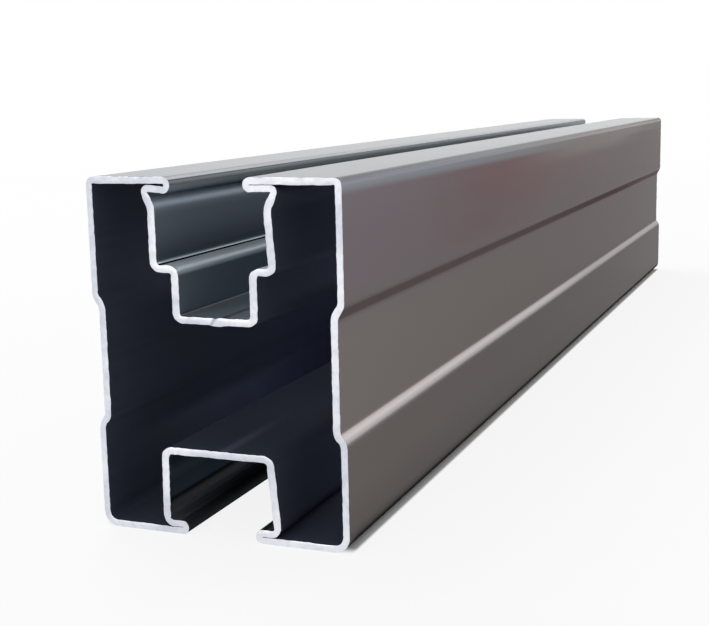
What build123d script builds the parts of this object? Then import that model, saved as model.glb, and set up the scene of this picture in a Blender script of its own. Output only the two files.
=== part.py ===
from build123d import *
import math
import os

# A steel guide rail, roll-formed from one strip and welded shut along the floor of its upper channel.
# A slotted channel is folded into the top face and a shallower one into the bottom face, so that bolts
# and clamps slide along both. Lengths are millimetres. X runs across the rail, Y along it and Z up,
# and the origin is at the middle of the face that the rail lies on.

# The whole rail
rail_length = 300.0
rail_width = 41.0
rail_height = 54.0
strip = 1.0  # thickness of the steel, zinc coating included

# The sides step inwards between two gentle bends
recess_depth = 1.05
recess_height = 18.5  # between the middles of the two steps
recess_bottom = 16.8  # height of the lower step's middle
upper_step_height = 1.9
lower_step_height = 1.4  # the lower step is the steeper one

# Slot mouths, measured between the noses of the folded hems
top_mouth_width = 11.8
top_mouth_shift = -0.5  # this sample's top mouth lies a little to the left
bottom_mouth_width = 11.3
bottom_mouth_shift = -0.1

# Hems: each flange is folded back flat under itself at the mouth
hem_gap = 0.06  # left between the two layers behind the fold
tight_hem_eye = 0.1  # room inside the fold of a well pressed hem
open_hem_eye = 0.5  # the left top hem is pressed less, and shows an eye
nose_flat = 0.06  # straight part of a fold, between its two quarter bends

# Upper channel, with widths between its walls and depths from the top face
root_width = 22.5  # over the outsides of the bends under the flanges
root_shift = -0.2
knee_width = 17.75
knee_shift = -0.3
knee_depth = 4.5
ledge_width = 18.35
ledge_depth = 12.95  # to the top of the ledges
neck_width = 11.7
neck_shift = 0.15
floor_depth = 20.45  # to the top of the floor

# Lower channel, with widths between its walls and its height from the bottom face
web_width = 16.4
web_shift = -0.5  # the right wall leans more than the left one
web_height = 12.45  # to the underside of the web
foot_width = 17.6
foot_shift = -0.1

# Inside radii of the bends
top_corner_bend = 0.2
bottom_corner_bend = 1.4
step_bend = 1.2
knee_bend = 1.5
root_bend = 0.1
channel_bend = 0.55
web_bend = 0.65
foot_bend = 0.6

# Weld that joins the strip's two edges in the middle of the upper channel's floor
weld_width = 2.6
weld_crown = 0.2  # how far its bead stands proud inside the rail
weld_shift = -0.2

half_strip = strip / 2
floor_underside = rail_height - floor_depth - strip


def slot_wall(side, width, shift=0.0):
    """X of the strip's middle in a wall that faces the slots, from the width between two such walls."""
    return side * (width / 2 + half_strip) + shift


def fold_bend(eye, run):
    """Inside radius of a hem's two bends, from the room inside its fold and the length of its inner layer."""
    lean = math.atan((eye - hem_gap) / run)
    return (strip + eye - nose_flat) / (1 + math.tan(math.pi / 4 + lean / 2)) - half_strip


def strip_bends(side, top_eye):
    """Corners of the strip's middle line with their inside radii, for one half of the section.

    They run from the floor of the upper channel round to the web of the lower one. side is 1 for the
    right half and -1 for the left, and top_eye is the room inside the fold of the top hem.
    """
    outer_x = side * (rail_width / 2 - half_strip)
    waist_x = outer_x - side * recess_depth
    root_x = side * (root_width / 2 - half_strip) + root_shift
    top_nose_x = slot_wall(side, top_mouth_width, top_mouth_shift)
    bottom_nose_x = slot_wall(side, bottom_mouth_width, bottom_mouth_shift)
    top_z = rail_height - half_strip
    bottom_z = half_strip
    upper_step_z = recess_bottom + recess_height
    ledge_z = rail_height - ledge_depth - half_strip
    floor_z = floor_underside + half_strip
    web_z = web_height + half_strip
    foot_x = slot_wall(side, foot_width, foot_shift)
    top_nose_bend = fold_bend(top_eye, abs(root_x - top_nose_x))
    bottom_nose_bend = fold_bend(tight_hem_eye, abs(foot_x - bottom_nose_x))
    return [
        (slot_wall(side, neck_width, neck_shift), floor_z, channel_bend),
        (slot_wall(side, neck_width, neck_shift), ledge_z, channel_bend),
        (slot_wall(side, ledge_width), ledge_z, channel_bend),
        (slot_wall(side, knee_width, knee_shift), rail_height - knee_depth, knee_bend),
        (root_x, top_z - strip - hem_gap, root_bend),
        (top_nose_x, top_z - strip - top_eye, top_nose_bend),
        (top_nose_x, top_z, top_nose_bend),
        (outer_x, top_z, top_corner_bend),
        (outer_x, upper_step_z + upper_step_height / 2, step_bend),
        (waist_x, upper_step_z - upper_step_height / 2, step_bend),
        (waist_x, recess_bottom + lower_step_height / 2, step_bend),
        (outer_x, recess_bottom - lower_step_height / 2, step_bend),
        (outer_x, bottom_z, bottom_corner_bend),
        (bottom_nose_x, bottom_z, bottom_nose_bend),
        (bottom_nose_x, bottom_z + strip + tight_hem_eye, bottom_nose_bend),
        (foot_x, bottom_z + strip + hem_gap, foot_bend),
        (slot_wall(side, web_width, web_shift), web_z, web_bend),
    ]


# The right half is followed from the floor down to the web, and the left half back up again
bends = strip_bends(1, tight_hem_eye) + strip_bends(-1, open_hem_eye)[::-1]
weld_left = (weld_shift - weld_width / 2, floor_underside)
weld_right = (weld_shift + weld_width / 2, floor_underside)

with BuildPart() as guide_rail:
    with BuildSketch(Plane.XZ) as section:
        with BuildLine() as middle_line:
            FilletPolyline(
                *[(x, z) for x, z, inside in bends],
                radius=[inside + half_strip for x, z, inside in bends],
                close=True,
            )
        make_face()
        cavity = offset(amount=-half_strip, mode=Mode.PRIVATE)
        offset(amount=half_strip)
        add(cavity, mode=Mode.SUBTRACT)
        with BuildLine() as weld_bead:
            ThreePointArc(weld_left, (weld_shift, floor_underside - weld_crown), weld_right)
            Line(weld_right, weld_left)
        make_face()
    extrude(amount=rail_length / 2, both=True)

guide_rail.part.label = "guide_rail"

os.makedirs("parts", exist_ok=True)
export_step(guide_rail.part, "parts/guide_rail.step")
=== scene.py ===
"""Looks of a steel guide rail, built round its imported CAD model. Runs in Blender 4.5.

The rail is one steel strip, folded into a closed section and welded along the floor of its upper channel.
Here the strip is folded again with real sawn ends, and it gets its weld and the burr that the saw left.
Sizes are in millimetres and meshes in metres. X runs across the rail, Y along it and Z up.
"""

import logging
import math
from dataclasses import dataclass
from enum import Enum
from typing import Any, Callable, NamedTuple, Union

import bmesh
import bpy
from mathutils import Matrix, Vector, noise


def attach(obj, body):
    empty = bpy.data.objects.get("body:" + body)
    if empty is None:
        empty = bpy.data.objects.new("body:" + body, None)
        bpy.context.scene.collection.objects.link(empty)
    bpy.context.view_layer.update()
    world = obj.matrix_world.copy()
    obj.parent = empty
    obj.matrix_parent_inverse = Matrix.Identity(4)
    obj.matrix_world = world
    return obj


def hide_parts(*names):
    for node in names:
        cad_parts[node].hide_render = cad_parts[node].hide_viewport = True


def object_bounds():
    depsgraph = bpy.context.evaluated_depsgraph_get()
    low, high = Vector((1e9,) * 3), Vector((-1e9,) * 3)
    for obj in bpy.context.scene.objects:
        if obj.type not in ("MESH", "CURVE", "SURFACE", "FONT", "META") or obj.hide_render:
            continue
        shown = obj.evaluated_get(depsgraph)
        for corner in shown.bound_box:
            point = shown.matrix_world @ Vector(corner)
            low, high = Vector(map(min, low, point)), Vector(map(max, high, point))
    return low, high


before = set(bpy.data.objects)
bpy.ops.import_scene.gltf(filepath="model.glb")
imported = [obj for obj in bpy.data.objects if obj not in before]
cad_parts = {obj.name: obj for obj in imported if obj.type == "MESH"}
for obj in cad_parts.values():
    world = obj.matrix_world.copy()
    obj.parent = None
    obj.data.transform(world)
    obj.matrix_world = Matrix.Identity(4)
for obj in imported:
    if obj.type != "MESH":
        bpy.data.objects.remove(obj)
cad_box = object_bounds()

MM = 0.001  # metres in a millimetre
SAME = 0.000002  # metres between points that count as one
PARALLEL = 0.9  # share of a length that lies along an axis, at least, where it counts as parallel
BODY = "root"
NODE = "guide_rail"

log = logging.getLogger("guide_rail")


class Side(Enum):
    """Half of the section, as the sign of its X."""

    RIGHT = 1
    LEFT = -1


class End(Enum):
    """End of the rail, as the sign of its Y."""

    NEAR = -1
    FAR = 1


class Corner(NamedTuple):
    """Corner of the strip's middle line, with the inside radius of its bend."""

    x: float
    z: float
    inside: float


def linear(code: str) -> tuple[float, float, float, float]:
    """Turn an sRGB hex colour into the linear colour that a shader takes.

    Args:
        code: Six hex digits after a hash.

    Returns:
        Red, green, blue and an alpha of 1.
    """
    parts = [int(code[i : i + 2], 16) / 255 for i in (1, 3, 5)]
    red, green, blue = (p / 12.92 if p <= 0.04045 else ((p + 0.055) / 1.055) ** 2.4 for p in parts)
    return red, green, blue, 1.0


def add_node(
    tree: bpy.types.NodeTree, kind: str, inputs: Union[dict[Any, Any], tuple[Any, ...]], **settings: Any
) -> bpy.types.Node:
    """Add a shader node, with its settings, and its inputs linked or set.

    Args:
        tree: Node tree that gets the node.
        kind: Type of the node, without its prefix.
        inputs: Socket or value for each input, in order, or by the input's name or number.
        settings: The node's own settings, such as operation.

    Returns:
        The new node.
    """
    node = tree.nodes.new("ShaderNode" + kind)
    for name, value in settings.items():
        setattr(node, name, value)
    for key, value in inputs.items() if isinstance(inputs, dict) else enumerate(inputs):
        if isinstance(value, bpy.types.NodeSocket):
            tree.links.new(value, node.inputs[key])
        else:
            node.inputs[key].default_value = value
    return node


def deselect_all() -> None:
    """Deselect every object, the CAD nodes among them."""
    bpy.ops.object.select_all(action="DESELECT")


def select_edges(piece: bpy.types.Object, wanted: Callable[[bmesh.types.BMEdge], bool]) -> None:
    """Select the edges that pass a test, in edit mode, and nothing else.

    Args:
        piece: Object in edit mode.
        wanted: Test of an edge.
    """
    mesh = bmesh.from_edit_mesh(piece.data)
    chosen = [edge for edge in mesh.edges if wanted(edge)]
    for part in (mesh.verts, mesh.edges, mesh.faces):
        for item in part:
            item.select = False
    for edge in chosen:
        edge.select_set(True)
    bmesh.update_edit_mesh(piece.data)


def runs_along(edge: bmesh.types.BMEdge, axis: int) -> bool:
    """Tell whether an edge runs along an axis, given by its number."""
    return abs((edge.verts[0].co - edge.verts[1].co).normalized()[axis]) > PARALLEL


def apply_modifier(piece: bpy.types.Object, kind: str, **settings: Any) -> None:
    """Put a modifier on the active object and apply it.

    Args:
        piece: The active object, in object mode.
        kind: Type of the modifier.
        settings: The modifier's own settings.
    """
    bpy.ops.object.modifier_add(type=kind)
    modifier = piece.modifiers[-1]
    for name, value in settings.items():
        setattr(modifier, name, value)
    bpy.ops.object.modifier_apply(modifier=modifier.name)


Marks = tuple[float, ...]  # mm: where a part starts and is full, then where it starts to fade and is gone
Share = Union[bpy.types.NodeSocket, float]
Limit = Union[tuple[bpy.types.NodeSocket, Marks], Share]


class Layer(NamedTuple):
    """Tone that lies over another one, and where."""

    tone: str
    marks: Marks


class Change(NamedTuple):
    """Share of itself that a tone gains or loses, and where."""

    amount: float
    marks: Marks


class Finish:
    """Shared steps of a finish, from its node tree through the tones of its parts to a metal shader."""

    def __init__(self, name: str) -> None:
        """Start a material with an empty node tree.

        Args:
            name: What the real material is.
        """
        self.material = bpy.data.materials.new(name)
        self.material.use_nodes = True
        self.tree = self.material.node_tree
        self.tree.nodes.clear()
        self.place = add_node(self.tree, "TexCoord", {}).outputs["Object"]
        self.x, self.y, self.z = add_node(self.tree, "SeparateXYZ", (self.place,)).outputs

    def zone(self, *where: Limit) -> Share:
        """Mark a part of the surface, with soft edges.

        Args:
            where: Limits of the part. Each is a value with its marks, or a share that is already made.

        Returns:
            A share from 0 to 1.
        """
        shares = []
        for limit in where:
            if not isinstance(limit, tuple):
                shares.append(limit)
                continue
            value, marks = limit
            for start, full in (marks[:2], marks[:1:-1])[: len(marks) // 2]:
                inputs = (value, start * MM, full * MM)
                step = add_node(self.tree, "MapRange", inputs, interpolation_type="SMOOTHSTEP")
                shares.append(step.outputs[0])
        share = shares[0]
        for other in shares[1:]:
            share = add_node(self.tree, "Math", (share, other), operation="MULTIPLY").outputs[0]
        return share

    def join(self, *shares: Share) -> bpy.types.NodeSocket:
        """Join parts of the surface, or take the highest of several values.

        Args:
            shares: The parts or the values.

        Returns:
            The highest of them at each place.
        """
        share = shares[0]
        for other in shares[1:]:
            share = add_node(self.tree, "Math", (share, other), operation="MAXIMUM").outputs[0]
        return share

    def level(self, start: Share, *changes: tuple[Share, Share]) -> Share:
        """Raise or lower a value in parts of the surface.

        Args:
            start: The value before that.
            changes: Pairs of a part and how much the value gains there.

        Returns:
            The value.
        """
        for share, change in changes:
            start = add_node(self.tree, "Math", (share, change, start), operation="MULTIPLY_ADD").outputs[0]
        return start

    def cover(self, colour: Any, tone: Any, *where: Limit) -> bpy.types.NodeSocket:
        """Lay a tone over part of a colour.

        Args:
            colour: The colour, as a hex code or a socket.
            tone: The tone, as either.
            where: Limits of the part, as in zone.

        Returns:
            The colour with the tone over it.
        """
        under, over = (linear(c) if isinstance(c, str) else c for c in (colour, tone))
        inputs = {0: self.zone(*where), 6: under, 7: over}
        return add_node(self.tree, "Mix", inputs, data_type="RGBA").outputs[2]

    def shade(self, colour: Any, change: float, *where: Limit, start: float = 1.0) -> bpy.types.NodeSocket:
        """Darken or lighten part of a colour.

        Args:
            colour: The colour, as a hex code or a socket.
            change: Share of itself that it gains.
            where: Limits of the part, as in zone.
            start: Share of itself that it keeps elsewhere.

        Returns:
            The shaded colour.
        """
        colour = linear(colour) if isinstance(colour, str) else colour
        inputs = {0: 1.0, 6: colour, 7: self.level(start, (self.zone(*where), change))}
        return add_node(self.tree, "Mix", inputs, data_type="RGBA", blend_type="MULTIPLY").outputs[2]

    def grain(
        self,
        size: tuple[float, float, float],
        detail: float = 2.0,
        roughness: float = 0.5,
        turn: tuple[float, float, float] = (0.0, 0.0, 0.0),
        levels: tuple[float, ...] = (),
    ) -> bpy.types.NodeSocket:
        """Make noise with grains of a given size.

        Args:
            size: Length of the grains in millimetres along X, Y and Z.
            detail: How many finer rounds of noise it gets.
            roughness: How strong those are.
            turn: Angles that the grains are turned by.
            levels: Where a grain starts and is full in the noise's own range, to harden it.

        Returns:
            The noise, from 0 to 1.
        """
        scale = tuple(1 / (length * MM) for length in size)
        inputs = {"Vector": self.place, "Rotation": turn, "Scale": scale}
        run = add_node(self.tree, "Mapping", inputs).outputs[0]
        inputs = {"Vector": run, "Scale": 1.0, "Detail": detail, "Roughness": roughness}
        value = add_node(self.tree, "TexNoise", inputs).outputs[0]
        if not levels:
            return value
        return add_node(self.tree, "MapRange", (value, *levels), interpolation_type="SMOOTHSTEP").outputs[0]

    def relief(self, *layers: tuple[bpy.types.NodeSocket, float]) -> bpy.types.NodeSocket:
        """Bend the normal by layers of relief.

        Args:
            layers: Pairs of a height from 0 to 1 and the millimetres that it stands for.

        Returns:
            The normal.
        """
        under = {}
        for height, depth in layers:
            inputs = {"Height": height, "Distance": depth * MM, "Strength": 1.0, **under}
            under = {"Normal": add_node(self.tree, "Bump", inputs).outputs[0]}
        return under["Normal"]

    def finish(self, edge_tint: float = 1.0, **inputs: Any) -> bpy.types.Material:
        """End the tree in a metal shader.

        Args:
            edge_tint: How much of the full glare stays at low angles.
            inputs: Its other inputs, underscores standing for spaces.

        Returns:
            The material.
        """
        named = {name.replace("_", " "): value for name, value in inputs.items()}
        named["Specular Tint"] = (edge_tint, edge_tint, edge_tint, 1.0)
        shader = add_node(self.tree, "BsdfPrincipled", named)
        add_node(self.tree, "OutputMaterial", {"Surface": shader.outputs[0]})
        return self.material


@dataclass(frozen=True)
class CoatedSteel:
    """Hot-dip zinc-magnesium coated steel strip, roll-formed.

    The eye gets a smooth satin grey metal, faintly brown on the sides, with tones that drift along the
    strip. Painted shade darkens the sides towards the far end and below the lower step, and lies in the
    crease over the recess, on the bottom bends and on the bend at the top left. The lower step has a
    painted highlight, and the band under the top corner a painted reflection. The hems at the upper mouth
    carry painted light and shade round their folds. The upper channel is painted paler and bluer as painted
    light, and the lower one dark with painted shade.
    """

    # the sides, near and far: painted shade makes them darker towards the far end
    near_top: str = "#786f73"
    near_low: str = "#7d7673"
    far_top: str = "#5f4b48"
    far_low: str = "#5c4947"
    upper_part: Marks = (28.0, 40.0)
    whole_length: Marks = (-150.0, 150.0)

    rosy: str = "#775e60"
    rosy_along: Marks = (-125.0, -60.0, 5.0, 85.0)
    rosy_up: Marks = (34.0, 43.0)
    pale: str = "#867c78"
    pale_along: Marks = (-60.0, 10.0, 50.0, 110.0)
    pale_up: Marks = (47.0, 51.0)

    cool_reflection: str = "#868990"  # painted reflection: the cool band under the top corner, which turns pale further on
    band_warms: Marks = (-100.0, 40.0)
    band_up: Marks = (50.65, 51.85)  # halfway along the rail
    band_slope: float = 0.005
    band_fades: Change = Change(-0.7, (70.0, 140.0))

    low_painted_shades: tuple[Change, ...] = (  # painted shade, darker below the lower step and down to the bottom bends
        Change(-0.215, (17.5, 15.5)),
        Change(-0.12, (9.5, 3.6)),
        Change(-0.15, (3.8, 2.6)),
    )
    step_highlight: Layer = Layer("#8f8a8a", (15.6, 16.4, 17.0, 17.9))  # painted highlight along the lower step
    step_highlight_fades: Change = Change(-0.3, (-40.0, 40.0))
    step_highlight_dims: Change = Change(-0.25, (17.1, 16.5))
    glare: Change = Change(-0.51, (52.75, 53.03, 53.4, 53.65))  # painted shade on the bend to the top, dimming its glare
    flange: Layer = Layer("#73777d", (53.85, 53.98))

    crease: Layer = Layer("#5e5252", (33.4, 34.5, 35.5, 36.4))  # painted shade in the crease over the recess
    crease_fades: Change = Change(-0.4, (60.0, 130.0))
    crease_out: Marks = (18.0, 19.0)  # from the middle, so that only the sides have it
    crease_share: float = 0.7
    # painted shade, on the bend at the top left and on the bottom bends
    painted_shade: str = "#2e2c2b"
    corner_across: Marks = (-19.6, -20.2)  # painted shade on the bend at the top left
    corner_up: Marks = (52.6, 53.2)
    bottom_shade_up: Marks = (0.05, 0.3, 0.7, 1.7)  # painted shade on the bottom bends
    # painted shadow, darkest, on the bottom bends where they meet the floor
    under: Layer = Layer("#0c0b0b", (0.05, 0.3, 1.0, 3.0))
    under_along: Marks = (-152.0, -146.0)

    fold_low: str = "#44484b"  # painted light and shade round the hems at the upper mouth, from their noses round to the top face
    folds: tuple[Layer, ...] = (
        Layer("#595d61", (53.05, 53.5)),
        Layer("#80868a", (52.95, 52.7)),
        # painted highlight along the lip
        Layer("#d0d4d9", (53.5, 53.62)),
    )
    fold_up: Marks = (53.99, 53.9)
    mouth_across: Marks = (-8.1, -7.7, 6.7, 7.1)
    nose_up: Marks = (51.9, 52.2, 52.6, 52.95)

    # painted light and shade in the upper channel: paler and bluer than the sides, with a pale floor
    channel: str = "#838e9a"
    channel_across: Marks = (-12.0, -11.8, 11.2, 11.4)
    channel_up: Marks = (31.2, 31.8, 52.0, 52.5)
    # painted shade, darker low on the channel's walls
    wall_low: str = "#656c77"
    wall_high: Layer = Layer("#7b838e", (41.5, 47.0))
    wall_up: Marks = (41.4, 41.8, 48.0, 49.2)
    neck_floor: Layer = Layer("#9ca7b2", (34.2, 33.7))
    neck_bend: Change = Change(-0.7, (33.54, 33.6, 33.8, 34.2))  # painted shade along both edges of that floor
    # painted light on the ledges
    ledge: Layer = Layer("#c8d4de", (39.4, 40.2, 41.2, 41.7))
    root_line: Layer = Layer("#050506", (41.0, 41.03, 41.16, 41.24))  # painted shadow line where the ledges meet the walls
    root_out: Marks = (8.45, 8.6)

    foot_low: str = "#70767d"  # painted light and shade: pale hems at the lower mouth, under the darker walls of that channel
    feet: tuple[Layer, ...] = (Layer("#2b3136", (3.0, 5.5)), Layer("#383f45", (7.5, 9.5)))
    foot_across: Marks = (-10.4, -10.2, 10.2, 10.4)
    foot_up: Marks = (0.3, 0.9, 12.8, 13.2)
    # painted shade over the glare low in that channel
    foot_glare: Change = Change(-0.8, (2.9, 3.8, 5.0, 5.7))
    # painted shade on the noses of those hems
    foot_nose: Layer = Layer("#383a3e", (2.4, 2.1))
    foot_nose_across: Marks = (-7.4, -7.0, 7.0, 7.4)

    metallic: float = 0.86
    channel_metallic: float = 0.55
    ledge_metallic: float = 0.15
    nose_metallic: float = 0.15
    foot_metallic: float = 0.5
    roughness: float = 0.25
    channel_roughness: float = 0.42
    soft_up: Marks = (42.0, 45.0)  # where the channel's roughness takes over
    shade_roughness: float = 0.85
    edge_tint: float = 0.4
    streak: tuple[float, float, float] = (1.3, 140.0, 1.3)  # mm
    streak_tone: float = 0.06
    streak_roughness: float = 0.025
    cloud: tuple[float, float, float] = (30.0, 70.0, 9.0)
    cloud_levels: tuple[float, float] = (0.2, 0.6)
    sway: tuple[float, float, float] = (20.0, 45.0, 12.0)  # gentle unevenness of the sheet
    sway_depth: float = 0.02

    def sides(self, make: Finish) -> bpy.types.NodeSocket:
        """Tone the sides along the rail and up its height, with painted shade, a painted highlight and a
        painted reflection.

        Args:
            make: The finish being made.

        Returns:
            The colour.
        """
        y, z = make.y, make.z
        tall = make.zone((z, self.upper_part))
        near = make.cover(self.near_low, self.near_top, tall)
        far = make.cover(self.far_low, self.far_top, tall)
        colour = make.cover(near, far, (y, self.whole_length))
        cloud = make.grain(self.cloud, levels=self.cloud_levels)
        colour = make.cover(colour, self.rosy, (y, self.rosy_along), (z, self.rosy_up), cloud)
        colour = make.cover(colour, self.pale, (y, self.pale_along), (z, self.pale_up))
        # painted reflection in the cool band under the top corner
        lifted = make.level(z, (y, self.band_slope))
        band = make.cover(self.cool_reflection, self.pale, (y, self.band_warms))
        kept = make.level(1.0, (make.zone((y, self.band_fades.marks)), self.band_fades.amount))
        colour = make.cover(colour, band, (lifted, self.band_up), kept)
        # painted shade, darker below the lower step and down to the bottom bends
        for change in self.low_painted_shades:
            colour = make.shade(colour, change.amount, (z, change.marks))
        # painted highlight along the lower step, fading along the rail and dimmer at its lower edge
        step_highlight = make.shade(self.step_highlight.tone, self.step_highlight_fades.amount, (y, self.step_highlight_fades.marks))
        step_highlight = make.shade(step_highlight, self.step_highlight_dims.amount, (z, self.step_highlight_dims.marks))
        colour = make.cover(colour, step_highlight, (z, self.step_highlight.marks))
        # painted shade on the bend to the top
        return make.shade(colour, self.glare.amount, (z, self.glare.marks))

    def outside(self, make: Finish, crease: Share, under: Share) -> bpy.types.NodeSocket:
        """Colour the sides, the top and the bottom, with their painted light and shade.

        Args:
            make: The finish being made.
            crease: Where the painted shade in the crease over the recess is.
            under: Where the darkest painted shadow is, on the bottom bends.

        Returns:
            The colour.
        """
        x, z = make.x, make.z
        colour = make.cover(self.sides(make), self.flange.tone, (z, self.flange.marks))
        # painted shade on the bend at the top left
        colour = make.cover(colour, self.painted_shade, self.left_corner(make))
        # painted light and shade round the hems' folds, with a painted highlight along the lip
        fold = self.fold_low
        for layer in self.folds:
            fold = make.cover(fold, layer.tone, (z, layer.marks))
        colour = make.cover(colour, fold, (x, self.mouth_across), (z, self.fold_up))
        # painted shade in the crease over the recess
        colour = make.cover(colour, self.crease.tone, crease, self.crease_share)
        # painted shade on the bottom bends
        colour = make.cover(colour, self.painted_shade, (z, self.bottom_shade_up))
        # painted shadow on the bottom bends
        return make.cover(colour, self.under.tone, under)

    def left_corner(self, make: Finish) -> Share:
        """Mark the painted shade on the bend between the top and the left side."""
        return make.zone((make.x, self.corner_across), (make.z, self.corner_up))

    def upper_channel(self, make: Finish, on_ledge: Share, root_line: Share) -> bpy.types.NodeSocket:
        """Colour the upper channel, with painted light and shade.

        Args:
            make: The finish being made.
            on_ledge: Where its ledges are.
            root_line: Where the painted shadow line along each ledge's root is.

        Returns:
            The colour.
        """
        z = make.z
        wall = make.cover(self.wall_low, self.wall_high.tone, (z, self.wall_high.marks))
        colour = make.cover(self.channel, wall, (z, self.wall_up))
        colour = make.cover(colour, self.neck_floor.tone, (z, self.neck_floor.marks))
        colour = make.shade(colour, self.neck_bend.amount, (z, self.neck_bend.marks))
        colour = make.cover(colour, self.ledge.tone, on_ledge)
        return make.cover(colour, self.root_line.tone, root_line)

    def lower_channel(self, make: Finish, nose: Share) -> bpy.types.NodeSocket:
        """Colour the lower channel, with painted light and shade.

        Args:
            make: The finish being made.
            nose: Where the noses of its hems are.

        Returns:
            The colour.
        """
        colour = self.foot_low
        for layer in self.feet:
            colour = make.cover(colour, layer.tone, (make.z, layer.marks))
        colour = make.shade(colour, self.foot_glare.amount, (make.z, self.foot_glare.marks))
        return make.cover(colour, self.foot_nose.tone, nose)

    def build(self) -> bpy.types.Material:
        """Make the material with its nodes."""
        make = Finish("zinc_coated_steel")
        x, y, z = make.x, make.y, make.z
        outwards = add_node(make.tree, "Math", (x,), operation="ABSOLUTE").outputs[0]
        streaks = make.grain(self.streak, detail=3.0)

        upper = make.zone((x, self.channel_across), (z, self.channel_up))
        lower = make.zone((x, self.foot_across), (z, self.foot_up))
        on_ledge = make.zone((z, self.ledge.marks), upper)
        root_line = make.zone(upper, (z, self.root_line.marks), (outwards, self.root_out))
        kept = make.level(1.0, (make.zone((y, self.crease_fades.marks)), self.crease_fades.amount))
        crease = make.zone((z, self.crease.marks), kept, (outwards, self.crease_out))
        under = make.zone((z, self.under.marks), (y, self.under_along))
        nose = make.zone((x, self.mouth_across), (z, self.nose_up))
        foot_nose = make.zone((x, self.foot_nose_across), (z, self.foot_nose.marks))

        colour = make.cover(
            self.outside(make, crease, under), self.upper_channel(make, on_ledge, root_line), upper
        )
        colour = make.cover(colour, self.lower_channel(make, foot_nose), lower)
        colour = make.shade(colour, self.streak_tone, streaks, start=1 - self.streak_tone / 2)

        pale = make.join(upper, nose)
        off_hem = make.zone((z, self.feet[0].marks))
        foot_change = make.level(self.foot_metallic - self.metallic, (off_hem, 1 - self.foot_metallic))
        metal = make.level(
            self.metallic,
            (pale, self.channel_metallic - self.metallic),
            (nose, self.nose_metallic - self.channel_metallic),
            (on_ledge, self.ledge_metallic - self.channel_metallic),
            (lower, foot_change),
        )
        metal = make.join(metal, crease, under, root_line, foot_nose)
        rough = make.level(
            self.roughness,
            (make.zone(pale, (z, self.soft_up)), self.channel_roughness - self.roughness),
            (streaks, self.streak_roughness),
        )
        # the parts with painted shade get a rougher surface
        shaded_parts = make.join(crease, under, foot_nose, self.left_corner(make))
        rough = make.join(rough, make.zone(shaded_parts, self.shade_roughness))
        bend = make.relief((make.grain(self.sway, detail=0.0), self.sway_depth))
        return make.finish(self.edge_tint, Base_Color=colour, Metallic=metal, Roughness=rough, Normal=bend)


@dataclass(frozen=True)
class HollowSteel:
    """The inner side of the same strip, dull and dark.

    The eye gets a near-black blue grey with faint long scratches, painted paler deeper in from each end,
    and sooner in the narrow legs, as painted light where less light reaches; and a paler trace on the web
    under the weld, where its spatter fell.
    """

    base: str = "#4a5162"
    deep: str = "#d0d8ee"
    reach: Marks = (0.0, 100.0)  # painted light: from an end to the palest depth
    upper_legs: Change = Change(1.2, (32.0, 36.0))  # these reach it sooner
    lower_legs: Change = Change(0.7, (14.0, 11.0))
    weld_trace: str = "#757c92"
    trace_across: Marks = (-0.7, 0.3, 0.9, 1.9)
    trace_up: Marks = (20.0, 16.0)
    trace_in: Marks = (45.0, 5.0)
    end: float = 150.0  # mm from the rail's middle
    scratch: tuple[float, float, float] = (0.9, 90.0, 0.9)  # mm
    scratch_tone: float = 0.06
    scratch_roughness: float = 0.1
    metallic: float = 0.35
    roughness: float = 0.38
    edge_tint: float = 0.4

    def build(self) -> bpy.types.Material:
        """Make the material with its nodes."""
        make = Finish("inner_steel")
        x, y, z = make.x, make.y, make.z
        scratches = make.grain(self.scratch, detail=3.0)
        along = add_node(make.tree, "Math", (y,), operation="ABSOLUTE").outputs[0]
        # painted light: paler deeper in from each end, and sooner in the narrow legs
        from_end = make.level(self.end * MM, (along, -1.0))
        legs = [(make.zone((z, leg.marks)), leg.amount) for leg in (self.upper_legs, self.lower_legs)]
        depth = make.zone(from_end, make.level(1.0, *legs))
        share = make.level(make.zone((depth, self.reach)), (scratches, self.scratch_tone))
        colour = make.cover(self.base, self.deep, share)
        trace = make.zone((x, self.trace_across), (z, self.trace_up), (from_end, self.trace_in))
        colour = make.cover(colour, self.weld_trace, trace)
        half = self.scratch_roughness / 2
        rough = make.level(self.roughness - half, (scratches, self.scratch_roughness))
        return make.finish(self.edge_tint, Base_Color=colour, Metallic=self.metallic, Roughness=rough)


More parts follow.
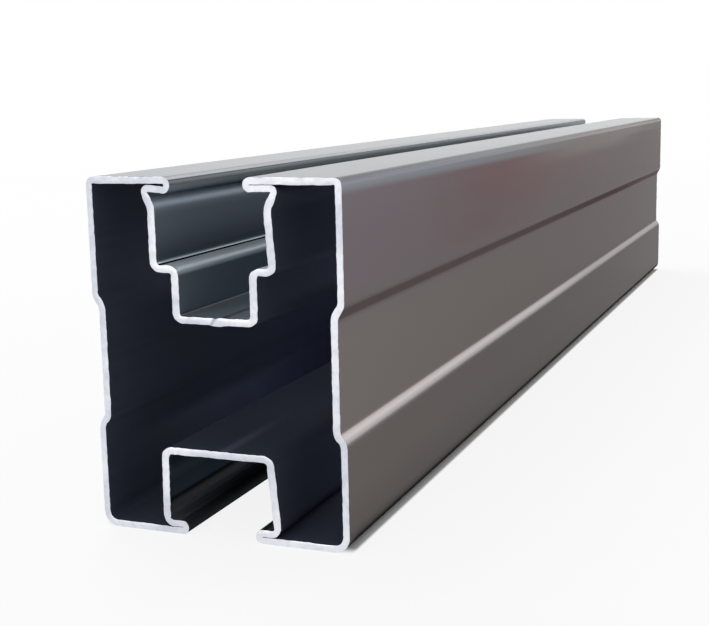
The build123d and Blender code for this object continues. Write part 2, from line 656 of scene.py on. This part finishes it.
@dataclass(frozen=True)
class SawnSteel:
    """Bare low-carbon steel, sawn across.

    The eye gets a bright, slightly rough cut with fine saw lines, and the weld's seam as a darker line.
    """

    base: str = "#eef0f5"
    dull: str = "#cfd2dc"
    dullness: float = 0.15
    cloud: tuple[float, float, float] = (14.0, 14.0, 14.0)  # mm
    cloud_levels: tuple[float, float] = (0.4, 0.6)
    cloud_share: float = 0.6
    blotch: tuple[float, float, float] = (1.6, 6.0, 1.6)
    blotch_levels: tuple[float, float] = (0.4, 0.7)
    blotch_share: float = 0.5
    blotch_depth: float = 0.05
    saw_line: tuple[float, float, float] = (0.45, 40.0, 6.0)  # 0.45 mm apart, drawn coarse enough to show
    saw_depth: float = 0.03
    saw_turn: float = 35.0  # degrees
    seam: str = "#b0b4bd"
    seam_place: tuple[float, float] = (-0.15, 33.05)
    seam_lean: float = 0.66
    seam_across: Marks = (-0.5, -0.05, 0.05, 0.5)
    seam_up: Marks = (32.0, 32.2, 33.9, 34.2)
    roughness: float = 0.45

    def build(self) -> bpy.types.Material:
        """Make the material with its nodes."""
        make = Finish("sawn_steel")
        clouds = make.grain(self.cloud, levels=self.cloud_levels)
        blotch = make.grain(self.blotch, detail=3.0, roughness=0.6)
        blotches = make.grain(self.blotch, detail=3.0, roughness=0.6, levels=self.blotch_levels)
        share = make.level(self.dullness, (clouds, self.cloud_share), (blotches, self.blotch_share))
        colour = make.cover(self.base, self.dull, share)
        leant = make.level(make.x, (make.z, -self.seam_lean))
        middle = self.seam_place[0] - self.seam_lean * self.seam_place[1]
        marks = tuple(middle + mark for mark in self.seam_across)
        colour = make.cover(colour, self.seam, (leant, marks), (make.z, self.seam_up))
        lines = make.grain(self.saw_line, turn=(0.0, math.radians(self.saw_turn), 0.0))
        bend = make.relief((blotch, self.blotch_depth), (lines, self.saw_depth))
        return make.finish(Base_Color=colour, Metallic=1.0, Roughness=self.roughness, Normal=bend)


@dataclass(frozen=True)
class Finishes:
    """The three finishes, in the order of the strip's material slots."""

    coated: bpy.types.Material
    sawn: bpy.types.Material
    hollow: bpy.types.Material

    def fill(self, piece: bpy.types.Object) -> None:
        """Give a piece its material slots."""
        for material in (self.coated, self.sawn, self.hollow):
            piece.data.materials.append(material)


class Skin(Enum):
    """Surface of the strip, as the number of its material slot."""

    COATED = 0
    SAWN = 1
    HOLLOW = 2


@dataclass
class FoldedStrip:
    """The steel strip, folded round the rail's section, thickened, and sawn at both ends."""

    length: float = 300.0
    width: float = 41.0
    height: float = 54.0
    strip: float = 1.0

    recess_depth: float = 1.05
    recess_height: float = 18.5
    recess_bottom: float = 16.8
    upper_step_height: float = 1.9
    lower_step_height: float = 1.4

    top_mouth: tuple[float, float] = (11.8, -0.5)  # width between the hems, and shift to the right
    bottom_mouth: tuple[float, float] = (11.3, -0.1)
    hem_gap: float = 0.06
    tight_eye: float = 0.1
    open_eye: float = 0.5
    nose_flat: float = 0.06

    root: tuple[float, float] = (22.5, -0.2)
    knee: tuple[float, float] = (17.75, -0.3)
    knee_depth: float = 4.5
    ledge: tuple[float, float] = (18.35, 0.0)
    ledge_depth: float = 12.95
    neck: tuple[float, float] = (11.7, 0.15)
    floor_depth: float = 20.45
    web: tuple[float, float] = (16.4, -0.5)
    web_height: float = 12.45
    foot: tuple[float, float] = (17.6, -0.1)

    top_corner_bend: float = 0.2
    bottom_corner_bend: float = 1.4
    step_bend: float = 1.2
    knee_bend: float = 1.5
    root_bend: float = 0.1
    channel_bend: float = 0.55
    web_bend: float = 0.65
    foot_bend: float = 0.6
    weld_shift: float = -0.2

    facet: float = 11.0  # degrees turned by each face of a bend
    flat_pitch: float = 0.45  # widest face on a flat
    end_loops: tuple[float, ...] = (0.3, 1.5, 6.0, 20.0, 50.0, 95.0)  # from each end
    closing_gap: float = 0.01  # widest gap that closes where the sheet's edges meet
    rim_cuts: int = 3  # through the strip's thickness at its sawn ends
    end_reach: float = 0.1  # from an end to the last place that is roughened
    least_tilt: float = 0.05  # of a normal into the section, under which it gives no direction there
    saw_edge: float = 0.05  # how far the sawn edges are broken
    edge_drop: float = 0.8  # share of that by which they lie behind the cut
    saw_wander: float = 0.08  # how far they wander
    wander_seed: int = 7
    wander_grain: float = 0.7
    burr: float = 0.13  # how far the saw dragged the steel over the edges inside
    least_burr: float = 0.35  # share of it where there is least
    level_burr: float = 0.3  # share of it on the level parts
    level_from: float = 0.7  # Z of the normal past which a part is level
    burr_grain: float = 1.3
    bare_rim: float = 0.3  # from the rail's outer faces, which have no burr
    hem_reach: tuple[float, float, float] = (0.5, 2.9, 2.5)  # past the roots, below the top, above the bottom
    notches: tuple[tuple[float, float], ...] = ((0.2, 33.55), (-0.45, 32.55))  # at both ends of the seam
    notch_depth: float = 0.13
    notch_reach: float = 0.4
    smooth_under: float = 35.0  # degrees between faces that look like one

    @property
    def half(self) -> float:
        """Half the strip's thickness."""
        return self.strip / 2

    def wall(self, side: Side, slot: tuple[float, float]) -> float:
        """X of the strip's middle in a wall beside a slot, from the slot's width and shift."""
        width, shift = slot
        return side.value * (width / 2 + self.half) + shift

    def fold_bend(self, eye: float, run: float) -> float:
        """Work out the inside radius of a hem's two bends.

        Args:
            eye: Room inside the fold.
            run: Length of the hem's inner layer.

        Returns:
            The inside radius.
        """
        lean = math.atan((eye - self.hem_gap) / run)
        return (self.strip + eye - self.nose_flat) / (1 + math.tan(math.pi / 4 + lean / 2)) - self.half

    def corners(self, side: Side, top_eye: float) -> list[Corner]:
        """Follow one half of the section, from the floor of the upper channel round to the web of the lower.

        Args:
            side: Which half.
            top_eye: Room inside the fold of the top hem.

        Returns:
            The corners of the strip's middle line.
        """
        outer = side.value * (self.width / 2 - self.half)
        waist = outer - side.value * self.recess_depth
        root = side.value * (self.root[0] / 2 - self.half) + self.root[1]
        top_nose, bottom_nose = self.wall(side, self.top_mouth), self.wall(side, self.bottom_mouth)
        neck = self.wall(side, self.neck)
        top, bottom = self.height - self.half, self.half
        upper_step = self.recess_bottom + self.recess_height
        ledge = self.height - self.ledge_depth - self.half
        upper_rise, lower_rise = self.upper_step_height / 2, self.lower_step_height / 2
        foot = self.wall(side, self.foot)
        top_fold = self.fold_bend(top_eye, abs(root - top_nose))
        bottom_fold = self.fold_bend(self.tight_eye, abs(foot - bottom_nose))
        return [
            Corner(neck, self.floor_middle, self.channel_bend),
            Corner(neck, ledge, self.channel_bend),
            Corner(self.wall(side, self.ledge), ledge, self.channel_bend),
            Corner(self.wall(side, self.knee), self.height - self.knee_depth, self.knee_bend),
            Corner(root, top - self.strip - self.hem_gap, self.root_bend),
            Corner(top_nose, top - self.strip - top_eye, top_fold),
            Corner(top_nose, top, top_fold),
            Corner(outer, top, self.top_corner_bend),
            Corner(outer, upper_step + upper_rise, self.step_bend),
            Corner(waist, upper_step - upper_rise, self.step_bend),
            Corner(waist, self.recess_bottom + lower_rise, self.step_bend),
            Corner(outer, self.recess_bottom - lower_rise, self.step_bend),
            Corner(outer, bottom, self.bottom_corner_bend),
            Corner(bottom_nose, bottom, bottom_fold),
            Corner(bottom_nose, bottom + self.strip + self.tight_eye, bottom_fold),
            Corner(foot, bottom + self.strip + self.hem_gap, self.foot_bend),
            Corner(self.wall(side, self.web), self.web_height + self.half, self.web_bend),
        ]

    @property
    def floor_middle(self) -> float:
        """Height of the strip's middle in the upper channel's floor."""
        return self.height - self.floor_depth - self.half

    def route(self) -> list[Corner]:
        """List every corner from the weld right round the section and back to it."""
        right = self.corners(Side.RIGHT, self.tight_eye)
        left = self.corners(Side.LEFT, self.open_eye)
        return right + left[::-1]

    def fold(self) -> bpy.types.Object:
        """Fold a flat sheet corner by corner, from one edge of the weld round to the other.

        Returns:
            The folded sheet, with sharp corners and no thickness yet, in edit mode.
        """
        route = self.route()
        first = route[0]
        deselect_all()
        bpy.ops.mesh.primitive_plane_add(size=1.0)
        piece = bpy.context.active_object
        piece.name = "folded_strip"
        bpy.ops.object.mode_set(mode="EDIT")
        bpy.context.tool_settings.mesh_select_mode = (False, True, False)
        bpy.ops.transform.resize(value=((first.x - self.weld_shift) * MM, self.length * MM, 1.0))
        middle = (first.x + self.weld_shift) / 2
        bpy.ops.transform.translate(value=(middle * MM, 0.0, self.floor_middle * MM))
        select_edges(piece, lambda edge: all(abs(v.co.x - first.x * MM) < SAME for v in edge.verts))
        stops = [(c.x, c.z) for c in route] + [(self.weld_shift, self.floor_middle)]
        for here, there in zip(stops, stops[1:]):
            step = ((there[0] - here[0]) * MM, 0.0, (there[1] - here[1]) * MM)
            bpy.ops.mesh.extrude_region_move(TRANSFORM_OT_translate={"value": step})
        bpy.ops.mesh.select_all(action="SELECT")
        bpy.ops.mesh.remove_doubles(threshold=self.closing_gap * MM)
        return piece

    def round_bends(self, piece: bpy.types.Object) -> None:
        """Round each corner of the folded sheet to its own radius.

        Args:
            piece: The folded sheet, in edit mode.
        """
        route = self.route()
        for before, corner, after in zip(route[-1:] + route, route, route[1:] + route[:1]):
            come = Vector((corner.x - before.x, corner.z - before.z))
            leave = Vector((after.x - corner.x, after.z - corner.z))
            turn = come.angle(leave)
            place = Vector((corner.x, corner.z)) * MM
            select_edges(piece, lambda edge: all((v.co.xz - place).length < SAME for v in edge.verts))
            bpy.ops.mesh.bevel(
                offset_type="OFFSET",
                offset=(corner.inside + self.half) * MM * math.tan(turn / 2),
                segments=max(2, round(math.degrees(turn) / self.facet)),
                profile=0.5,
                affect="EDGES",
                clamp_overlap=False,
            )

    def divide(self, piece: bpy.types.Object) -> None:
        """Divide the flats across, and the whole sheet along, so that its ends can be roughened.

        Args:
            piece: The folded sheet, in edit mode.
        """

        def cuts(edge: bmesh.types.BMEdge) -> int:
            """Count the cuts that an edge across the strip needs."""
            a, b = (v.co for v in edge.verts)
            return 0 if abs(a.y - b.y) > MM else round((a - b).length / (self.flat_pitch * MM)) - 1

        mesh = bmesh.from_edit_mesh(piece.data)
        for count in sorted({cuts(edge) for edge in mesh.edges} - {0, -1}):
            select_edges(piece, lambda edge: cuts(edge) == count)
            bpy.ops.mesh.subdivide(number_cuts=count)
        for end in End:
            for inset in self.end_loops:
                bpy.ops.mesh.select_all(action="SELECT")
                y = end.value * (self.length / 2 - inset) * MM
                bpy.ops.mesh.bisect(plane_co=(0.0, y, 0.0), plane_no=(0.0, 1.0, 0.0))
        bpy.ops.mesh.select_all(action="SELECT")
        bpy.ops.mesh.normals_make_consistent(inside=False)

    def thicken(self, piece: bpy.types.Object) -> None:
        """Give the sheet the strip's thickness, and break its sawn edges.

        Args:
            piece: The folded sheet, in edit mode.
        """
        bpy.ops.object.mode_set(mode="OBJECT")
        apply_modifier(
            piece,
            "SOLIDIFY",
            thickness=self.strip * MM,
            offset=0.0,
            use_even_offset=True,
            use_rim=True,
            material_offset=Skin.HOLLOW.value,
            material_offset_rim=Skin.SAWN.value,
        )
        bpy.ops.object.mode_set(mode="EDIT")
        sawn = Skin.SAWN.value
        select_edges(piece, lambda edge: all(face.material_index == sawn for face in edge.link_faces))
        bpy.ops.mesh.subdivide(number_cuts=self.rim_cuts)
        mesh = bmesh.from_edit_mesh(piece.data)
        skin = {v for face in mesh.faces if face.material_index != sawn for v in face.verts}
        for vert in skin:
            for edge in vert.link_edges:
                other = edge.other_vert(vert)
                if other not in skin:
                    other.co = vert.co + (other.co - vert.co).normalized() * self.saw_edge * MM
        bmesh.update_edit_mesh(piece.data)
        bpy.ops.object.mode_set(mode="OBJECT")

    def burr_at(self, place: Vector, outward: Vector) -> float:
        """Work out how far the steel stands out at a place on a sawn edge.

        Args:
            place: Vertex of the edge.
            outward: Where the strip's face looks there.

        Returns:
            Millimetres of burr, which is none outside or in a hem, less the depth of a notch.
        """
        x, z = abs(place.x) / MM, place.z / MM
        for notch in self.notches:
            away = (Vector(notch) - Vector((place.x, place.z)) / MM).length
            if away < self.notch_reach:
                return -self.notch_depth * (1 - away / self.notch_reach)
        outside = x > self.width / 2 - self.recess_depth - self.bare_rim
        outside = outside or not self.bare_rim <= z <= self.height - self.bare_rim
        past_root, under_top, over_bottom = self.hem_reach
        hem = x < self.root[0] / 2 + past_root and not over_bottom <= z <= self.height - under_top
        if outside or hem:
            return 0.0
        share = self.level_burr if abs(outward.z) > self.level_from else 1.0
        lump = 0.5 + 0.5 * noise.noise(place / (self.burr_grain * MM))
        return share * self.burr * (self.least_burr + (1 - self.least_burr) * lump)

    def roughen_ends(self, piece: bpy.types.Object) -> None:
        """Let the sawn edges wander, and drag a burr over them, without leaving the CAD rail's box.

        Args:
            piece: The thick strip.
        """
        low, high = cad_box
        end_y = self.length / 2 * MM
        noise.seed_set(self.wander_seed)
        faces = [face for face in piece.data.polygons if face.material_index != Skin.SAWN.value]
        skin = {index for face in faces for index in face.vertices}
        flats = [Vector((vert.normal.x, 0.0, vert.normal.z)) for vert in piece.data.vertices]
        outward = [flat.normalized() if flat.length > self.least_tilt else Vector() for flat in flats]
        for vert in piece.data.vertices:
            if end_y - abs(vert.co.y) > self.end_reach * MM:
                continue
            drift = noise.noise_vector(vert.co / (self.wander_grain * MM)) * self.saw_wander * MM
            back = abs(drift.y) / 2
            if vert.index in skin:
                back += self.saw_edge * MM * self.edge_drop
                away = outward[vert.index]
                vert.co += away * self.burr_at(vert.co, away) * MM
            vert.co += Vector((drift.x, -math.copysign(back, vert.co.y), drift.z))
            for axis in range(3):
                vert.co[axis] = min(max(vert.co[axis], low[axis]), high[axis])

    def build(self, finishes: Finishes) -> bpy.types.Object:
        """Make the whole strip and put it in the frame.

        Args:
            finishes: Finishes of its two sides and its cut ends.

        Returns:
            The finished piece.
        """
        piece = self.fold()
        finishes.fill(piece)
        self.round_bends(piece)
        self.divide(piece)
        self.thicken(piece)
        self.roughen_ends(piece)
        bpy.ops.object.shade_smooth_by_angle(angle=math.radians(self.smooth_under))
        apply_modifier(piece, "WEIGHTED_NORMAL", keep_sharp=True)
        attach(piece, BODY)
        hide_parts(NODE)
        return piece


class Ridge(NamedTuple):
    """Sizes across a long ridge, with the share of its crown that is left away from the rail's ends."""

    middle: float
    width: float
    crown: float
    flush: float


@dataclass
class WeldSeam:
    """The long weld that closes the section: a rippled bead inside the rail, and a planed rest in the neck."""

    length: float = 300.0
    floor_top: float = 33.55
    strip: float = 1.0
    bead: Ridge = Ridge(0.5, 2.6, 0.26, 1.0)
    rest: Ridge = Ridge(1.25, 1.4, 0.16, 0.3)
    saw_lift: float = 2.5  # from an end to where the saw no longer lifted the planed rest
    ripple: float = 1.7  # between the bead's ripples
    ripple_across: float = 0.8
    ripple_share: float = 0.25  # of the crown
    rings: tuple[int, int] = (99, 3)  # cuts along the rail, in two rounds, because one round makes 100 at most
    cuts_across: int = 9
    flatness: float = 0.7  # power of the cosine that shapes a ridge, under 1 for a flat crown
    root_depth: float = 0.15  # of each ridge inside the strip
    back: float = 0.04  # from the rail's end to the ridge's
    smooth_under: float = 50.0  # degrees between faces that look like one

    def ridge(self, name: str, sizes: Ridge, base: float, up: int) -> bpy.types.Object:
        """Make one ridge, the whole length of the rail.

        Args:
            name: Its name.
            sizes: Its sizes across.
            base: Height of the strip's face that it stands on.
            up: 1 where it stands up, or -1 where it hangs.

        Returns:
            The ridge.
        """
        deselect_all()
        bpy.ops.mesh.primitive_cube_add(size=1.0)
        piece = bpy.context.active_object
        piece.name = name
        bpy.ops.object.mode_set(mode="EDIT")
        bpy.context.tool_settings.mesh_select_mode = (False, True, False)
        long = self.length - 2 * self.back
        bpy.ops.transform.resize(value=(sizes.width * MM, long * MM, self.root_depth * MM))
        place = (sizes.middle * MM, 0.0, (base - up * self.root_depth / 2) * MM)
        bpy.ops.transform.translate(value=place)
        for axis, cuts in ((1, self.rings[0]), (1, self.rings[1]), (0, self.cuts_across)):
            select_edges(piece, lambda edge: runs_along(edge, axis))
            bpy.ops.mesh.subdivide(number_cuts=cuts)
        bpy.ops.object.mode_set(mode="OBJECT")
        for vert in piece.data.vertices:
            if (vert.co.z - place[2]) * up > 0:
                across = (vert.co.x / MM - sizes.middle) / (sizes.width / 2)
                spot = Vector((vert.co.x / self.ripple_across, vert.co.y / self.ripple, up)) / MM
                lump = 1 - self.ripple_share + self.ripple_share * noise.noise(spot)
                from_end = self.length / 2 - abs(vert.co.y) / MM
                lump *= sizes.flush + (1 - sizes.flush) * max(0.0, 1 - from_end / self.saw_lift)
                bulge = max(0.0, math.cos(across * math.pi / 2)) ** self.flatness
                vert.co.z += up * sizes.crown * lump * bulge * MM
        return piece

    def build(self, finishes: Finishes) -> list[bpy.types.Object]:
        """Make both ridges and put them in the frame.

        Args:
            finishes: Finishes of the rail.

        Returns:
            The two ridges.
        """
        ridges = [
            self.ridge("weld_bead", self.bead, self.floor_top - self.strip, -1),
            self.ridge("planed_weld", self.rest, self.floor_top, 1),
        ]
        for ridge, skin in zip(ridges, (Skin.HOLLOW, Skin.COATED)):
            finishes.fill(ridge)
            for face in ridge.data.polygons:
                face.material_index = Skin.SAWN.value if abs(face.normal.y) > PARALLEL else skin.value
            deselect_all()
            ridge.select_set(True)
            bpy.context.view_layer.objects.active = ridge
            bpy.ops.object.shade_smooth_by_angle(angle=math.radians(self.smooth_under))
            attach(ridge, BODY)
        return ridges


@dataclass(frozen=True)
class Lamp:
    """Soft rectangular lamp, with its place and size in metres and its radiance, where 1 is white."""

    name: str
    place: tuple[float, float, float]
    size: tuple[float, float]
    radiance: float


@dataclass
class Studio:
    """Pale floor, soft lamps, white surroundings and the camera."""

    lamps: tuple[Lamp, ...] = (
        Lamp("overhead_lamp", (-0.5, 0.3, 0.9), (0.7, 0.7), 3.2),
        Lamp("back_left_lamp", (-0.75, 1.6, 0.4), (1.5, 0.7), 0.95),
        Lamp("back_right_lamp", (0.75, 1.6, 0.4), (1.2, 0.7), 2.1),
        Lamp("front_lamp", (-0.3, -1.3, 0.6), (0.8, 0.6), 2.0),
    )

    lamp_aim: tuple[float, float, float] = (0.0, 0.0, 0.03)  # metres
    shadow_across: Marks = (17.3, 18.3, 20.3, 21.0)  # from the rail's middle, where its sides meet the floor
    shadow_along: Marks = (150.0, 147.0)
    floor_size: float = 6.0  # metres
    floor_gap: float = 0.02  # mm under the rail, so that the two faces don't share a plane
    floor_grey: float = 0.9
    floor_glow: float = 0.87  # as the eye sees it round the rail, where 1 is white
    floor_fades: Marks = (350.0, 1100.0)  # from the rail's middle, to where it is white
    world_strength: float = 0.5  # as a light
    camera_place: tuple[float, float, float] = (85.75, -308.93, 65.58)  # mm
    camera_turn: tuple[float, float, float] = (-21.85, -10.01, -1.26)  # degrees right, up and round its axis
    lens: float = 63.79  # mm, on a sensor of the next width
    sensor: float = 36.0
    near_clip: float = 0.01  # metres

    def add_camera(self) -> None:
        """Make the camera and hand it to the scene."""
        yaw, pitch, roll = (math.radians(v) for v in self.camera_turn)
        turn = (
            Matrix.Rotation(-yaw, 3, "Z")
            @ Matrix.Rotation(math.pi / 2 + pitch, 3, "X")
            @ Matrix.Rotation(roll, 3, "Z")
        )
        place = tuple(v * MM for v in self.camera_place)
        bpy.ops.object.camera_add(location=place, rotation=turn.to_euler())
        camera = bpy.context.active_object
        camera.data.lens = self.lens
        camera.data.sensor_width = self.sensor
        camera.data.clip_start = self.near_clip
        bpy.context.scene.camera = camera

    def add_floor(self) -> None:
        """Make the floor, which fades into the white surroundings."""
        deselect_all()
        bpy.ops.mesh.primitive_plane_add(size=self.floor_size, location=(0.0, 0.0, -self.floor_gap * MM))
        floor = bpy.context.active_object
        floor.name = "floor"
        make = Finish("pale_floor")
        tree = make.tree
        away = add_node(tree, "VectorMath", (make.place,), operation="LENGTH").outputs["Value"]
        across, along = (
            add_node(tree, "Math", (value,), operation="ABSOLUTE").outputs[0] for value in (make.x, make.y)
        )
        glow = make.level(self.floor_glow, (make.zone((away, self.floor_fades)), 1 - self.floor_glow))
        under = make.zone((across, self.shadow_across), (along, self.shadow_along))
        share = make.zone(glow, make.level(1.0, (under, -1.0)), self.seen_rays(tree))
        grey = (self.floor_grey, self.floor_grey, self.floor_grey, 1.0)
        matt = add_node(tree, "BsdfDiffuse", {"Color": grey})
        white = add_node(tree, "Emission", {"Strength": 1.0})
        both = add_node(tree, "MixShader", (share, matt.outputs[0], white.outputs[0]))
        add_node(tree, "OutputMaterial", {"Surface": both.outputs[0]})
        floor.data.materials.append(make.material)

    def seen_rays(self, tree: bpy.types.NodeTree) -> bpy.types.NodeSocket:
        """Add the test for rays that see the surroundings, and not only take light from them.

        Args:
            tree: Node tree that gets it.

        Returns:
            Socket that is 1 for camera, glossy and transmission rays.
        """
        rays = add_node(tree, "LightPath", {}).outputs
        seen = rays["Is Camera Ray"]
        for name in ("Is Glossy Ray", "Is Transmission Ray"):
            seen = add_node(tree, "Math", (seen, rays[name]), operation="MAXIMUM").outputs[0]
        return seen

    def add_world(self) -> None:
        """Make the surroundings white to the eye and soft as a light."""
        world = bpy.data.worlds.new("studio")
        world.use_nodes = True
        tree = world.node_tree
        tree.nodes.clear()
        soft, white = (
            add_node(tree, "Background", {"Color": (1.0, 1.0, 1.0, 1.0), "Strength": strength})
            for strength in (self.world_strength, 1.0)
        )
        both = add_node(tree, "MixShader", (self.seen_rays(tree), soft.outputs[0], white.outputs[0]))
        add_node(tree, "OutputWorld", {"Surface": both.outputs[0]})
        bpy.context.scene.world = world

    def add_lamp(self, lamp: Lamp) -> None:
        """Hang a soft lamp that looks at the rail.

        Args:
            lamp: The lamp's place, size and radiance.
        """
        bpy.ops.object.light_add(type="AREA", location=lamp.place)
        made = bpy.context.active_object
        made.name = lamp.name
        look = Vector(self.lamp_aim) - Vector(lamp.place)
        made.rotation_euler = look.to_track_quat("-Z", "Y").to_euler()
        made.data.shape = "RECTANGLE"
        made.data.size, made.data.size_y = lamp.size
        made.data.energy = lamp.radiance * math.pi * lamp.size[0] * lamp.size[1]

    def build(self) -> None:
        """Make the whole studio."""
        self.add_camera()
        self.add_floor()
        self.add_world()
        for lamp in self.lamps:
            self.add_lamp(lamp)
        bpy.context.scene.view_settings.view_transform = "Standard"


def main() -> None:
    """Build the studio and the rail, and report each piece."""
    logging.basicConfig(level=logging.INFO, format="%(message)s")
    Studio().build()
    finishes = Finishes(CoatedSteel().build(), SawnSteel().build(), HollowSteel().build())
    for piece in (FoldedStrip().build(finishes), *WeldSeam().build(finishes)):
        log.info("%s: %d faces", piece.name, len(piece.data.polygons))


if __name__ == "__main__":
    main()
